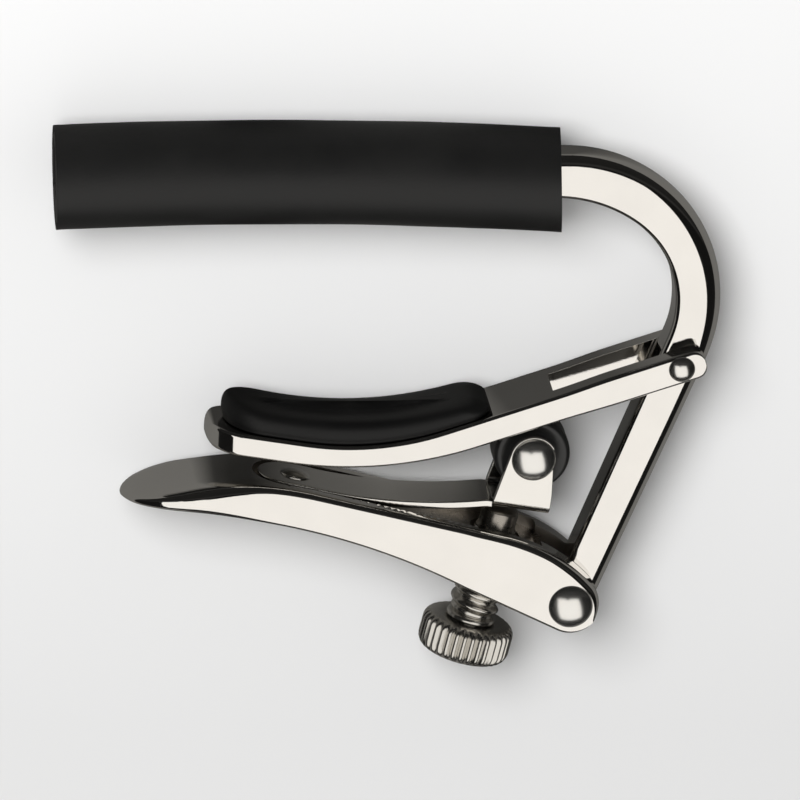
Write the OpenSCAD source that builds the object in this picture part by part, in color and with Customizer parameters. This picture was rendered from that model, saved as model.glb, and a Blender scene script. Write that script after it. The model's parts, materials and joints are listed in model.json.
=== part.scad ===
// Guitar capo with an over-centre lever: a bent square bar carries a rubber sleeve that
// presses the strings, and a forked arm with a rubber pad that presses the back of the
// neck. A roller on the lever's leaf spring pushes the arm up, and a thumbscrew under the
// spring sets how far. All pivots run along Z; the capo lies on its side.
// The plan is drawn in X and Y about a point between the jaws, with Z = 0 in the middle
// of the thickness, and place() moves it to the part's own origin.

/* [Frame bar] */
// Thickness of the square bar across the capo (Z)
bar_h = 5.6; // [5.2:0.1:5.6]
// Depth of the straight string bar in the plan (Y)
bar_w = 6.2; // [5.8:0.1:6.4]
// Crown radius of the string bar's axis
crown_r = 613.8; // [613:0.1:614.6]
// Angle of the string bar on each side of its middle
crown_half = 3.1; // [2.8:0.1:3.4]
// Angle of the spine's outer edge from the Y axis
spine_outer_angle = 21.2; // [21:0.1:21.6]
// Angle of the spine's inner edge from the Y axis
spine_inner_angle = 20.4; // [20:0.1:21]

/* [Rubber sleeve] */
// Radius of the sleeve on the string bar
sleeve_r = 6.8; // [6:0.1:7.2]
// Distance of the sleeve's axis from the bar's axis, towards the strings
sleeve_offset = 1.3; // [1:0.1:1.5]
// Length of the sleeve
sleeve_len = 66; // [60:1:67]

/* [Neck arm] */
// Width of the arm (Z)
arm_width = 11.2; // [10.4:0.1:12]
// Radius of the arm's upper curve, under the pad
arm_top_r = 38.2; // [36:0.1:40]
// Radius of the arm's lower curve
arm_bottom_r = 51.2; // [50:0.1:53]
// Rise of the arm's straight stretch, in degrees
arm_rise = 19.2; // [19:0.1:19.4]
// Width of the fork slot, which the bar passes through
slot_width = 6; // [5.9:0.05:6.2]
// Radius of the arm's pivot pin
arm_pin_r = 1.0; // [0.8:0.05:1.1]
// Radius of the arm pivot's domed heads
arm_head_r = 1.72; // [1.5:0.01:1.8]
// Height of the arm pivot's domed heads
arm_head_h = 0.8; // [0.5:0.1:1.1]

/* [Neck pad] */
// Thickness of the pad in the middle
pad_thick = 3.2; // [2:0.1:3.4]
// Width of the pad (Z)
pad_width = 10.6; // [8:0.1:11]

/* [Lever] */
// Width of the lever (Z)
lever_width = 13.7; // [13:0.1:15]
// Width of the recess that the spring lies in
recess_width = 9.5; // [9:0.1:10]
// Depth of the recess under the lever's rim
recess_depth = 1.4; // [1.2:0.1:2]
// Radius of the lever's round end
lever_end_r = 3.84; // [3.8:0.01:4]
// Radius of the lever's pivot pin
lever_pin_r = 1.5; // [1.2:0.1:1.8]
// Radius of the lever pivot's domed heads
lever_head_r = 2.9; // [2.5:0.1:3.1]
// Height of the lever pivot's domed heads
lever_head_h = 1.2; // [0.8:0.1:1.5]

/* [Leaf spring and roller] */
// Width of the leaf spring
spring_width = 7.7; // [7:0.1:8]
// Thickness of the leaf spring
spring_thick = 1; // [0.8:0.1:1]
// Thickness of the roller's two ears
ear_thick = 0.85; // [0.7:0.05:1]
// Distance over the two ears
ear_span = 8.7; // [8.6:0.1:9]
// Radius of the ears' round tops
ear_r = 3.05; // [3:0.01:3.2]
// Radius of the roller
roller_r = 5; // [4.6:0.05:5]
// Length of the roller
roller_len = 5.6; // [5:0.1:5.7]
// Radius of the roller's bush
bush_r = 2.4; // [2:0.1:2.8]
// Radius of the roller's pin
roller_pin_r = 1.2; // [1:0.1:1.4]

/* [Thumbscrew] */
// Radius of the screw over its threads
screw_r = 3.3; // [3:0.1:3.4]
// Radius of the screw's spigot inside the knob
spigot_r = 2; // [1.6:0.1:2.4]
// Radius of the knob over its knurl
knob_r = 6.05; // [5.5:0.05:6.5]
// Height of the knob
knob_h = 4.8; // [3.4:0.1:5]
// Ridges round the knob
knob_ridges = 34; // [24:2:40]
// Depth of the grooves between the ridges
knurl_depth = 0.3; // [0.1:0.05:0.4]
// Radius of the screw's plain point, under the spring
point_r = 2.45; // [2.2:0.05:2.8]
// Length of the plain point
point_len = 3.2; // [2.4:0.1:4]
// Tilt of the screw from the Y axis
screw_tilt = 12.2; // [11:0.1:13]

/* [Hidden] */
$fn = 64;

// Longer than any piece, for the solids that cut or trim
beyond = 100;

// Pivot axes in the plan
arm_pivot = [35.95, 6.5];
lever_pivot = [22.85, -26.1];
roller_axis = [17.35, -6.6];

// Frame: centres and radii of the hook's arcs, outer and inner
crown_centre = [-13.4, -581];
hook_outer = [20.25, 14.12];
hook_outer_r = 20.97;
hook_outer_start = 88;
hook_inner_1 = [18.64, 10.22];
hook_inner_1_r = 18.64;
hook_inner_2 = [21.39, 14.27];
hook_inner_2_r = 13.74;
hook_inner_joint = 56;
bar_free_end = 2.9;
spine_foot_r = 3.8;

// Arm
arm_curve_x = -7.1;
arm_trough_top = -4.5;
arm_trough_bottom = -7.45;
arm_left = -25.45;
arm_left_rise = 8.45;
arm_tip = 2.7;
arm_end_lean = 1.2;
slot_left = 19.5;
track_left = 1.5;
track_depth = 1.05;
track_width = 6.1;

// Pad
pad_left = -23.4;
pad_right = 11.7;
pad_top_r = 51;
pad_end_slope = 1.4;
pad_lip = 1.6;
pad_end_run = 2.6;

// Lever
lever_tip = -36.1;
lever_rise = 13.2;
shoulder_centre = [9.04, -38.56];
shoulder_r = norm(shoulder_centre - lever_pivot) + lever_end_r;
shoulder_start = atan2(lever_pivot[1] - shoulder_centre[1], lever_pivot[0] - shoulder_centre[0]);
rim_r = 43;
rim_centre = [-20.97, -52.64];
back_r = 93.6;
back_centre = [-34.22, -106.83];
back_end = 26.4;
fork_left = 18.5;
fork_slot = 5.9;
seat_left = -18.9;
seat_right = -10.4;
above_rim = 5;

// Spring
spring_r = 68;
spring_low = [4.8, -12.7];
root_left = -18.2;
hinge_x = -10.5;
hinge_gap = 0.06;
root_gap = 0.02;
rivet_x = -13.25;
rivet_head_r = 2;
rivet_head_h = 0.7;
rivet_r = 1.1;
rivet_len = 3.2;
base_left = 11.5;
base_right = 19.7;
base_fall = 8.3;

// Screw: a point on its axis in the middle of the knob, and the tip's distance from it
knob_middle = [10.137, -32.665];
screw_tip = 18.6;
tip_r = 1.9;
tip_h = 0.4;
tip_bevel = 0.4;
point_shoulder = 0.6;
knob_chamfer = 0.5;

// Clearances between pieces that turn or slide on each other
run_gap = 0.05;

// The part's origin: middle of its plan, at its lowest point
plan_left = crown_centre[0] - (crown_r - sleeve_offset + sleeve_r) * sin(sleeve_half());
plan_right = hook_outer[0] + hook_outer_r;
plan_top = crown_centre[1] + crown_r - sleeve_offset + sleeve_r;
plan_bottom = knob_middle[1] - knob_h / 2 * cos(screw_tilt) - (knob_r - knob_chamfer) * sin(screw_tilt);
origin_shift = [-(plan_left + plan_right) / 2, -(plan_top + plan_bottom) / 2,
                lever_width / 2 + lever_head_h];

function sleeve_half() = asin(sleeve_len / 2 / (crown_r - sleeve_offset));

// Points on an arc about centre c, from angle a to angle b
function arc(c, r, a, b, steps = 12) =
    [for (i = [0 : steps]) c + r * [cos(a + (b - a) * i / steps), sin(a + (b - a) * i / steps)]];

// Y of a circle's upper or lower side (side = 1 or -1) at x
function circle_y(c, r, x, side) = c[1] + side * sqrt(r * r - pow(x - c[0], 2));

// Y at x on a straight line that leaves point p at a slope given in degrees
function line_y(p, angle, x) = p[1] + (x - p[0]) * tan(angle);

// Moves the plan to the part's origin
module place() { translate(origin_shift) children(); }

// A plan outline made solid between z and -z
module slab(points, half) {
    translate([0, 0, -half]) linear_extrude(2 * half) polygon(points);
}

// A round bar along Z about point p
module peg(p, r, half) {
    translate([p[0], p[1], -half]) cylinder(r = r, h = 2 * half);
}

// A low dome of radius r and height h, standing on Z = 0
module dome(r, h) {
    ball = (r * r + h * h) / (2 * h);
    intersection() {
        translate([0, 0, h - ball]) sphere(r = ball);
        cylinder(r = r, h = h);
    }
}

// A pin along Z with a domed head on each end
module headed_pin(p, r, half, head_r, head_h) {
    peg(p, r, half);
    for (side = [0, 1]) mirror([0, 0, side]) translate([p[0], p[1], half]) dome(head_r, head_h);
}

// Outline of the frame bar in the plan
function bar_end_angle() = asin((sleeve_len / 2 - bar_free_end) / crown_r);
outer_foot = lever_pivot + spine_foot_r * [cos(spine_outer_angle), -sin(spine_outer_angle)];
inner_start = hook_inner_2 + hook_inner_2_r * [cos(spine_inner_angle), -sin(spine_inner_angle)];
inner_drop = inner_start[1] - lever_pivot[1];
inner_foot = inner_start - inner_drop * [tan(spine_inner_angle), 1];

module frame_bar() color("gainsboro") place() difference() {
    union() {
        slab(concat(
            arc(crown_centre, crown_r + bar_w / 2, 90 + bar_end_angle(), 90 - crown_half),
            arc(hook_outer, hook_outer_r, hook_outer_start, -spine_outer_angle, 28),
            [outer_foot, inner_foot],
            arc(hook_inner_2, hook_inner_2_r, -spine_inner_angle, hook_inner_joint, 16),
            arc(hook_inner_1, hook_inner_1_r, hook_inner_joint, 90 - crown_half, 6),
            arc(crown_centre, crown_r - bar_w / 2, 90 - crown_half, 90 + bar_end_angle())
        ), bar_h / 2);
        peg(lever_pivot, spine_foot_r, bar_h / 2);
    }
    peg(lever_pivot, lever_pin_r + run_gap, bar_h);
    peg(arm_pivot, arm_pin_r + run_gap, bar_h);
}

module string_sleeve() color([0.06, 0.06, 0.06]) place()
    translate([crown_centre[0], crown_centre[1], 0])
    rotate([0, 0, 90 - sleeve_half()])
    rotate_extrude(angle = 2 * sleeve_half(), $fn = 360)
    difference() {
        translate([crown_r - sleeve_offset, 0]) circle(r = sleeve_r);
        translate([crown_r, 0]) square([bar_w + 0.04, bar_h + 0.04], center = true);
    }

// Upper and lower edges of the arm
arm_top_centre = [arm_curve_x, arm_trough_top + arm_top_r];
arm_bottom_centre = [arm_curve_x, arm_trough_bottom + arm_bottom_r];
arm_top_right = arm_top_centre + arm_top_r * [sin(arm_rise), -cos(arm_rise)];
arm_bottom_right = arm_bottom_centre + arm_bottom_r * [sin(arm_rise), -cos(arm_rise)];
arm_top_left = arm_top_centre - arm_top_r * [sin(arm_left_rise), cos(arm_left_rise)];
arm_bottom_left = arm_bottom_centre - arm_bottom_r * [sin(arm_left_rise), cos(arm_left_rise)];
arm_end = arm_pivot[0] + arm_tip * cos(arm_rise);

function arm_top_points(from_x, to_x) = concat(
    [[from_x, line_y(arm_top_left, -arm_left_rise, from_x)]],
    arc(arm_top_centre, arm_top_r, 270 - arm_left_rise, 270 + arm_rise),
    [[to_x, line_y(arm_top_right, arm_rise, to_x)]]);
function arm_bottom_points(from_x, to_x) = concat(
    [[from_x, line_y(arm_bottom_left, -arm_left_rise, from_x)]],
    arc(arm_bottom_centre, arm_bottom_r, 270 - arm_left_rise, 270 + arm_rise),
    [[to_x, line_y(arm_bottom_right, arm_rise, to_x)]]);
function arm_bottom_y(x) = x > arm_bottom_right[0]
    ? line_y(arm_bottom_right, arm_rise, x)
    : circle_y(arm_bottom_centre, arm_bottom_r, x, -1);
function reversed(points) = [for (i = [len(points) - 1 : -1 : 0]) points[i]];

// A bar with a round left end, seen along Y, to trim flat pieces to their plan
module round_ended(left, right, width) {
    rotate([90, 0, 0]) translate([0, 0, -beyond]) linear_extrude(2 * beyond) {
        translate([left + width / 2, 0]) circle(r = width / 2);
        translate([left + width / 2, -width / 2]) square([right - left - width / 2, width]);
    }
}

module neck_arm() color("gainsboro") place() difference() {
    intersection() {
        slab(concat(arm_top_points(arm_left, arm_end + arm_end_lean),
                    reversed(arm_bottom_points(arm_left, arm_end))), arm_width / 2);
        round_ended(arm_left, beyond, arm_width);
    }
    // Fork slot for the bar
    translate([slot_left, -beyond / 2, -slot_width / 2]) cube([beyond, beyond, slot_width]);
    // Shallow track that the roller runs in
    slab(concat(
        [for (x = [track_left : 2 : slot_left]) [x, arm_bottom_y(x) + track_depth]],
        [[slot_left + 1, arm_bottom_y(slot_left + 1) + track_depth],
         [slot_left + 1, arm_bottom_y(slot_left + 1) - 2],
         [track_left - 2.5, arm_bottom_y(track_left) - 2],
         [track_left - 2.5, arm_bottom_y(track_left - 2.5) - 0.1]]), track_width / 2);
    peg(arm_pivot, arm_pin_r, arm_width);
}

module arm_pivot_pin() color("silver") place()
    headed_pin(arm_pivot, arm_pin_r, arm_width / 2, arm_head_r, arm_head_h);

// Upper edge of the pad: a wide hollow curve, rounded down at both ends
pad_top_centre = [arm_curve_x, arm_trough_top + pad_thick + pad_top_r];
module neck_pad() color([0.08, 0.08, 0.08]) place() intersection() {
    slab(concat(
        arm_top_points(pad_left, pad_right),
        [[pad_right - 0.4, circle_y(pad_top_centre, pad_top_r, pad_right, -1) - pad_lip],
         [pad_right - pad_end_run, circle_y(pad_top_centre, pad_top_r, pad_right - pad_end_run, -1)]],
        [for (x = [8 : -4 : -20]) [x, circle_y(pad_top_centre, pad_top_r, x, -1)]],
        [[pad_left + 1, circle_y(pad_top_centre, pad_top_r, pad_left, -1) - pad_end_slope / 2],
         [pad_left, circle_y(pad_top_centre, pad_top_r, pad_left, -1) - 2 * pad_end_slope]]),
        pad_width / 2);
    round_ended(pad_left, pad_right, pad_width);
}

// Lever outline: round end, shoulder, straight rim, curved spoon and long curved back
rim_straight = shoulder_centre + shoulder_r * [sin(lever_rise), cos(lever_rise)];
lever_tip_angle = acos((lever_tip + 0.5 - rim_centre[0]) / rim_r);
lever_back_end = lever_pivot - lever_end_r * [sin(back_end), cos(back_end)];
function rim_y(x) = x > rim_centre[0] + rim_r * sin(lever_rise)
    ? line_y(rim_straight, -lever_rise, x)
    : circle_y(rim_centre, rim_r, x, 1);

module lever() color("gainsboro") place() difference() {
    intersection() {
        slab(concat(
            arc(lever_pivot, lever_end_r, -90 - back_end, shoulder_start),
            arc(shoulder_centre, shoulder_r, shoulder_start, 90 - lever_rise),
            arc(rim_centre, rim_r, 90 - lever_rise, lever_tip_angle, 20),
            [[lever_tip, rim_y(lever_tip) - 0.4]],
            [for (x = [lever_tip + 0.4 : 3.4 : 9]) [x, circle_y(back_centre, back_r, x, 1)]]
        ), lever_width / 2);
        round_ended(lever_tip, beyond, lever_width);
    }
    // Seat for the riveted root of the spring
    slab([[seat_left, above_rim], [seat_left, rim_y(seat_left) - spring_thick],
          [-15, rim_y(-15) - spring_thick], [seat_right, rim_y(seat_right) - spring_thick],
          [seat_right, above_rim]], recess_width / 2);
    // Recess that the spring sinks into
    slab([[seat_right - 0.01, above_rim], [seat_right - 0.01, rim_y(seat_right) - recess_depth],
          [14, rim_y(14) - recess_depth], [fork_left, rim_y(fork_left) - recess_depth - 0.4],
          lever_pivot + [lever_width / 2, 0], [lever_pivot[0] + lever_width / 2, above_rim]],
         recess_width / 2);
    // Fork that straddles the spine
    translate([fork_left, -beyond, -fork_slot / 2]) cube([beyond, 2 * beyond, fork_slot]);
    peg(lever_pivot, lever_pin_r, lever_width);
    on_rivet() translate([0, 0, -rivet_len]) cylinder(r = rivet_r, h = 2 * rivet_len);
    on_screw() cylinder(r = screw_r + run_gap, h = beyond, center = true);
}

module lever_pivot_pin() color("silver") place()
    headed_pin(lever_pivot, lever_pin_r, lever_width / 2, lever_head_r, lever_head_h);

// Local frame with Z up out of the spring's top face at the rivet
module on_rivet() {
    slope = asin((rivet_x - rim_centre[0]) / rim_r);
    translate([rivet_x, rim_y(rivet_x), 0]) rotate([0, 0, -slope]) rotate([-90, 0, 0]) children();
}

// Local frame with Z along the screw, from the middle of the knob
module on_screw() {
    translate([knob_middle[0], knob_middle[1], 0])
        rotate([0, 0, -screw_tilt]) rotate([-90, 0, 0]) children();
}

// The spring's bend line: the root ends in a hollow and the leaf in a round nose
bend = [hinge_x, rim_y(hinge_x) - spring_thick / 2];

module spring_root() color("silver") place() difference() {
    intersection() {
        slab(concat(
            [for (x = [root_left : 1.925 : hinge_x + 0.01]) [x, rim_y(x)]],
            [for (x = [hinge_x : -1.925 : root_left - 0.01])
                [x, rim_y(x) - spring_thick + root_gap]]), spring_width / 2);
        round_ended(root_left, beyond, spring_width);
    }
    peg(bend, spring_thick / 2 + hinge_gap, spring_width);
    on_rivet() cylinder(r = rivet_r, h = 2 * rivet_len, center = true);
}

module spring_rivet() color("silver") place() on_rivet() {
    translate([0, 0, -rivet_len]) cylinder(r = rivet_r, h = rivet_len);
    dome(rivet_head_r, rivet_head_h);
}

// The leaf: a long shallow curve, a flat base, and two ears for the roller's pin
leaf_centre = spring_low + [0, spring_r];
base_top = [base_left, circle_y(leaf_centre, spring_r, base_left, -1)];

module spring_leaf() color("silver") place() {
    slab(concat(
        [for (x = [hinge_x + 0.2 : 2.18 : base_left + 0.01])
            [x, circle_y(leaf_centre, spring_r, x, -1)]],
        [for (x = [base_left : -2.18 : hinge_x + 0.19])
            [x, circle_y(leaf_centre, spring_r + spring_thick, x, -1)]]), spring_width / 2);
    peg(bend, spring_thick / 2, spring_width / 2);
    // Base under the roller
    slab([base_top, [base_right, line_y(base_top, -base_fall, base_right)],
          [base_right, line_y(base_top, -base_fall, base_right) - spring_thick],
          base_top - [0, spring_thick]], ear_span / 2);
    // Ears
    for (side = [0, 1]) mirror([0, 0, side]) translate([0, 0, ear_span / 2 - ear_thick])
        linear_extrude(ear_thick) difference() {
            polygon(concat(
                [[base_left + 0.4, line_y(base_top, -base_fall, base_left + 0.4) - spring_thick / 2]],
                arc(roller_axis, ear_r, 165, -8),
                [[base_right, line_y(base_top, -base_fall, base_right) - spring_thick / 2]]));
            translate(roller_axis) circle(r = roller_pin_r);
        }
}

module roller_pin() color("silver") place()
    headed_pin(roller_axis, roller_pin_r, ear_span / 2, lever_head_r, lever_head_h);

// A ring about the roller's axis with bevelled outer rims
module ring(r, bore, half, bevel) {
    translate([roller_axis[0], roller_axis[1], 0]) rotate_extrude()
        polygon([[bore, -half], [r - bevel, -half], [r, bevel - half], [r, half - bevel],
                 [r - bevel, half], [bore, half]]);
}

module roller_bush() color("dimgray") place()
    ring(bush_r, roller_pin_r + run_gap, ear_span / 2 - ear_thick - 2 * run_gap, 0.2);

module roller_tyre() color([0.1, 0.1, 0.1]) place()
    ring(roller_r, bush_r, roller_len / 2, 0.6);

// Spigot, threaded body, shoulder, plain point, bevel and domed tip
module adjusting_screw() color("silver") place() on_screw() {
    body_end = screw_tip - point_len;
    translate([0, 0, -knob_h / 2]) cylinder(r = spigot_r, h = knob_h + run_gap);
    translate([0, 0, knob_h / 2 + run_gap]) cylinder(r = screw_r, h = body_end - knob_h / 2 - run_gap);
    translate([0, 0, body_end]) cylinder(r1 = screw_r, r2 = point_r, h = point_shoulder);
    translate([0, 0, body_end]) cylinder(r = point_r, h = point_len - tip_bevel - tip_h);
    translate([0, 0, screw_tip - tip_bevel - tip_h]) cylinder(r1 = point_r, r2 = tip_r, h = tip_bevel);
    translate([0, 0, screw_tip - tip_h]) dome(tip_r, tip_h);
}

module thumb_knob() color("silver") place() on_screw() difference() {
    intersection() {
        translate([0, 0, -knob_h / 2]) linear_extrude(knob_h)
            polygon([for (i = [0 : 2 * knob_ridges - 1])
                (knob_r - (i % 2) * knurl_depth)
                * [cos(180 * i / knob_ridges), sin(180 * i / knob_ridges)]]);
        // Chamfers that cut the ridges' ends, clear of their crests
        rotate_extrude() polygon([
            [0, -knob_h / 2], [knob_r - knob_chamfer, -knob_h / 2],
            [knob_r + knob_chamfer, 2 * knob_chamfer - knob_h / 2],
            [knob_r + knob_chamfer, knob_h / 2 - 2 * knob_chamfer],
            [knob_r - knob_chamfer, knob_h / 2], [0, knob_h / 2]]);
    }
    cylinder(r = spigot_r + run_gap, h = 2 * knob_h, center = true);
}

frame_bar();
string_sleeve();
neck_arm();
neck_pad();
arm_pivot_pin();
lever();
lever_pivot_pin();
spring_root();
spring_rivet();
spring_leaf();
roller_pin();
roller_bush();
roller_tyre();
adjusting_screw();
thumb_knob();
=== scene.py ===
"""Guitar capo lying on its side on a pale floor: polished nickel, black rubber and a leaf spring.

Lengths are millimetres in the plan of the CAD source until row() turns them into metres.
"""

import json
import math

import bmesh
import bpy
from mathutils import Matrix, Vector

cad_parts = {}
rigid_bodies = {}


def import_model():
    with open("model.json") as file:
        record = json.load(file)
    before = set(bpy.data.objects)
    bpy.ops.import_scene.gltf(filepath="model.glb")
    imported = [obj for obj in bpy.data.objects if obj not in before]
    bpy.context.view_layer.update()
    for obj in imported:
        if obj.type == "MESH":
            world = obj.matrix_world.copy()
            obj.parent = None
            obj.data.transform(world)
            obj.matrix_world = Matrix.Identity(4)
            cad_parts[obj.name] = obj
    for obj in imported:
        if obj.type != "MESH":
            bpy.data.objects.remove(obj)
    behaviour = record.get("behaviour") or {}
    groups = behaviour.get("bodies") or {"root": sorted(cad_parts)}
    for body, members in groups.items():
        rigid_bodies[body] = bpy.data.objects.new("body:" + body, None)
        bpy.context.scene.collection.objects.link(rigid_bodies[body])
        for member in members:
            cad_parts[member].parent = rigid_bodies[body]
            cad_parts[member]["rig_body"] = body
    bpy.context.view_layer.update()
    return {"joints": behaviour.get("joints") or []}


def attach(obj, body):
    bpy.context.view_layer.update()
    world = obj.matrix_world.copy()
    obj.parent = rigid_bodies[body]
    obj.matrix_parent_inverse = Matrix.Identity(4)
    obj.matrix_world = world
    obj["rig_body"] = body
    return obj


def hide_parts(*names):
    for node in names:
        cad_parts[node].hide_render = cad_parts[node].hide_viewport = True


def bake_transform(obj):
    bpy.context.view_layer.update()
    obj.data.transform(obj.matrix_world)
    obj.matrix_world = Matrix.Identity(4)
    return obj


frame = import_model()
MM = 0.001
joints = {j["name"]: j for j in frame["joints"]}


# ---------------------------------------------------------------- plan of the capo, in mm

lever_pivot = (22.85, -26.1)
arm_pivot = (35.95, 6.5)
roller_axis = (17.35, -6.6)
place = joints["lever_swing"]["pos_m"]
shift = (place[0] / MM - lever_pivot[0], place[1] / MM - lever_pivot[1], place[2] / MM)

crown_centre, crown_r, crown_half = (-13.4, -581), 613.8, 3.1
sleeve_r, sleeve_offset, sleeve_len = 6.8, 1.3, 66
bar_half, bar_depth = 2.8, 3.1
spine_outer, spine_inner = 21.2, 20.4

arm_curve_x, trough_top, trough_bottom = -7.1, -4.5, -7.45
arm_top_r, arm_bottom_r = 38.2, 51.2
arm_rise, arm_left_rise = 19.2, 8.45
arm_left, arm_half = -25.45, 5.6
arm_tip = 2.7

lever_half = 6.85
lever_tip, lever_rise = -36.1, 13.2
lever_end_r = 3.84
fork_left = 18.5
shoulder = (9.04, -38.56)
shoulder_r = math.dist(shoulder, lever_pivot) + lever_end_r
rim_centre, rim_r = (-20.97, -52.64), 43
back_centre, back_r = (-34.22, -106.83), 93.6

spring_half, spring_thick = 3.85, 1.0
spring_centre, spring_r = (4.8, 55.3), 68
hinge_x = -10.5
base_left, base_right, base_fall = 11.5, 19.7, 8.3
ear_outer, ear_thick = 4.35, 0.85

knob_middle, screw_tilt = (10.137, -32.665), 12.2
knob_half, knob_r, ridges = 2.4, 6.05, 34
screw_r, screw_tip, pitch = 3.3, 18.6, 1.7
point_r, point_len = 2.45, 3.2


def sin(a):
    return math.sin(math.radians(a))


def cos(a):
    return math.cos(math.radians(a))


def tan(a):
    return math.tan(math.radians(a))


def row(p):
    """A plan point in mm as a row point in metres."""
    return Vector(((p[0] + shift[0]) * MM, (p[1] + shift[1]) * MM, (p[2] + shift[2]) * MM))


def polar(c, r, a):
    return (c[0] + r * cos(a), c[1] + r * sin(a))


def mix(a, b, t):
    return a + (b - a) * t


def mix2(p, q, t):
    return (mix(p[0], q[0], t), mix(p[1], q[1], t))


def steps(a, b, n):
    return [mix(a, b, i / n) for i in range(n + 1)]


def smooth(t):
    t = min(1, max(0, t))
    return t * t * (3 - 2 * t)


def circle_y(c, r, x, side):
    return c[1] + side * math.sqrt(max(0, r * r - (x - c[0]) ** 2))


# ---------------------------------------------------------------- mesh helpers


def loft(rings, loop=False, caps=True):
    """Vertices and faces of a skin over rings of equal length."""
    n = len(rings[0])
    verts = [p for ring in rings for p in ring]
    pairs = [(i, i + 1) for i in range(len(rings) - 1)]
    if loop:
        pairs.append((len(rings) - 1, 0))
    faces = []
    for a, b in pairs:
        for j in range(n):
            k = (j + 1) % n
            faces.append((a * n + j, a * n + k, b * n + k, b * n + j))
    if caps and not loop:
        faces.append(tuple(reversed(range(n))))
        faces.append(tuple(range((len(rings) - 1) * n, len(rings) * n)))
    return verts, faces


def mesh_object(name, verts, faces):
    mesh = bpy.data.meshes.new(name)
    mesh.from_pydata([row(v) for v in verts], [], faces)
    obj = bpy.data.objects.new(name, mesh)
    bpy.context.scene.collection.objects.link(obj)
    b = bmesh.new()
    b.from_mesh(mesh)
    bmesh.ops.remove_doubles(b, verts=b.verts, dist=1e-7)
    bmesh.ops.recalc_face_normals(b, faces=b.faces)
    b.to_mesh(mesh)
    b.free()
    return obj


def apply_modifiers(obj):
    bpy.context.view_layer.update()
    done = bpy.data.meshes.new_from_object(obj.evaluated_get(bpy.context.evaluated_depsgraph_get()))
    obj.modifiers.clear()
    obj.data = done


def cut(obj, cutter, how="DIFFERENCE", faces=None):
    """Boolean cut; the faces it makes take their own material where one is given."""
    m = obj.modifiers.new("cut", "BOOLEAN")
    m.operation, m.object, m.solver = how, cutter, "EXACT"
    if faces:
        cutter.data.materials.append(faces)
        m.material_mode = "TRANSFER"
    apply_modifiers(obj)
    bpy.data.objects.remove(cutter)


def finish_mesh(obj, bevel=0.0, angle=35):
    """Small bevels on sharp edges, smooth shading elsewhere, flat faces kept flat."""
    b = bmesh.new()
    b.from_mesh(obj.data)
    bmesh.ops.remove_doubles(b, verts=b.verts, dist=2e-6)
    bmesh.ops.dissolve_degenerate(b, edges=b.edges, dist=2e-6)
    b.to_mesh(obj.data)
    b.free()
    if bevel:
        m = obj.modifiers.new("bevel", "BEVEL")
        m.width, m.segments, m.limit_method = bevel * MM, 2, "ANGLE"
        m.angle_limit = math.radians(50)
        m.use_clamp_overlap = True
        m.miter_outer = "MITER_ARC"
        apply_modifiers(obj)
    mesh = obj.data
    mesh.polygons.foreach_set("use_smooth", [True] * len(mesh.polygons))
    mesh.set_sharp_from_angle(angle=math.radians(angle))
    m = obj.modifiers.new("normals", "WEIGHTED_NORMAL")
    m.keep_sharp, m.weight = True, 80
    apply_modifiers(obj)


def piece(obj, body, slot, material, *nodes):
    if not obj.data.materials:
        obj.data.materials.append(material)
    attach(obj, body)
    if nodes:
        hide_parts(*nodes)
    return obj


def corner_ring(x0, x1, z0, z1, low, high, n=6):
    """A rounded rectangle as (x, z) pairs. low and high are (x, z) corner radii on the two x sides."""
    out = []
    for sx, sz, (rx, rz), a in ((1, 1, high, 0), (-1, 1, low, 90), (-1, -1, low, 180), (1, -1, high, 270)):
        rx, rz = min(rx, (x1 - x0) * 0.499), min(rz, (z1 - z0) * 0.499)
        cx = x1 - rx if sx > 0 else x0 + rx
        cz = z1 - rz if sz > 0 else z0 + rz
        out += [(cx + rx * cos(a + t), cz + rz * sin(a + t)) for t in steps(0, 90, n)]
    return out


def between(outer, inner, section):
    """A ring across a piece, from inner to outer. section(width) gives (distance from inner, z) pairs."""
    wide = math.dist(outer, inner)
    ux, uy = (outer[0] - inner[0]) / wide, (outer[1] - inner[1]) / wide
    return [(inner[0] + ux * s, inner[1] + uy * s, z) for s, z in section(wide)]


def lathe(profile, frame_point, n=64):
    """Profile of (radius, height) turned about an axis. frame_point(u, v, h) gives the plan point."""
    return loft([[frame_point(r * cos(360 * i / n), r * sin(360 * i / n), h) for i in range(n)]
                 for r, h in profile])


def about_z(c):
    return lambda u, v, h: (c[0] + u, c[1] + v, h)


def along_screw(u, v, h):
    """A point with h along the screw from the knob's middle."""
    return (knob_middle[0] + h * sin(screw_tilt) + u * cos(screw_tilt),
            knob_middle[1] + h * cos(screw_tilt) - u * sin(screw_tilt), v)


def turned_ring(name, half_profile, n):
    """A ring turned about the roller's axis. half_profile is (radius, height) from the middle of its bore
    to the middle of its rim, and the other half mirrors it."""
    profile = half_profile + [(r, -h) for r, h in reversed(half_profile)][1:-1]
    x, y = roller_axis
    rings = [[(x + r * cos(360 * i / n), y + r * sin(360 * i / n), h) for i in range(n)] for r, h in profile]
    return mesh_object(name, *loft(rings, loop=True))


def prism(name, outline, z0, z1):
    """A cutter: a plan outline made solid between two heights."""
    return mesh_object(name, *loft([[(x, y, z0) for x, y in outline], [(x, y, z1) for x, y in outline]]))


# ---------------------------------------------------------------- materials


def material(name, colour, metallic, roughness):
    m = bpy.data.materials.new(name)
    m.use_nodes = True
    nodes, links = m.node_tree.nodes, m.node_tree.links
    shader = nodes["Principled BSDF"]
    shader.inputs["Base Color"].default_value = (*colour, 1)
    shader.inputs["Metallic"].default_value = metallic
    shader.inputs["Roughness"].default_value = roughness
    where = nodes.new("ShaderNodeTexCoord")
    return m, nodes, links, shader, where


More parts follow.
